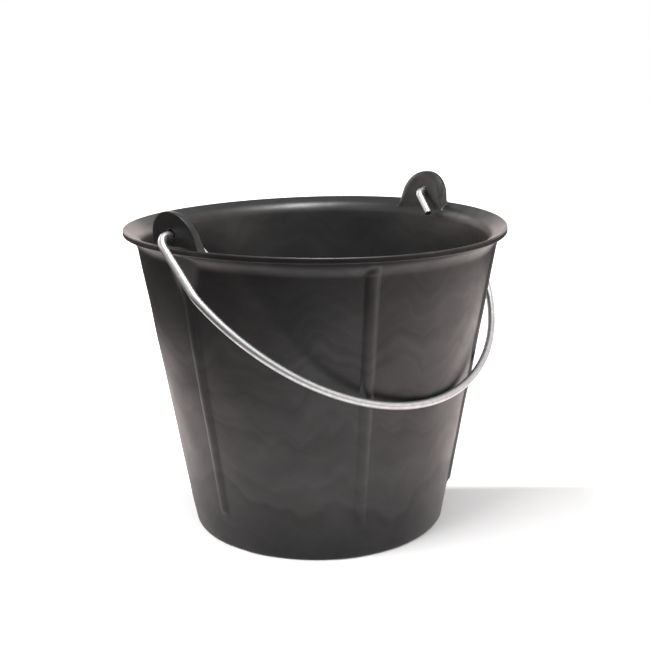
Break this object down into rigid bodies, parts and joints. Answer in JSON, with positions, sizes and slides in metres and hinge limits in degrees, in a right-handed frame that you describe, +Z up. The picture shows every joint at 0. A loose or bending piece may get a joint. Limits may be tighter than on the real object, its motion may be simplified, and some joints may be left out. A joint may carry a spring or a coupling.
{
  "type": "graduated bucket",
  "caption": "Tapered moulded rubber bucket with a flared lip, raised ears, outside ribs, a litre scale inside and a swinging wire bail handle.",
  "frame": {"origin": "centre of the underside of the floor, on the axis of the bucket", "axes": "+Z up along the axis of the bucket; X through the two ears, along the hinge line of the bail; the bail hangs down on the -Y side at rest"},
  "size_m": [0.3574, 0.3298, 0.2947],
  "materials": {
    "rubber_shell": "satin moulded recycled rubber, dark grey with faint flow streaks",
    "galvanised_wire": "bare galvanised drawn wire"
  },
  "bodies": {
    "shell": {"bucket_shell": "rubber_shell"},
    "bail": {"wire_bail": "galvanised_wire"}
  },
  "joints": [
    {"name": "bail_swing", "type": "hinge", "parent": "shell", "child": "bail", "pos_m": [0, 0, 0.2765], "axis": [-1, 0, 0], "range_deg": [0, 271]}
  ]
}
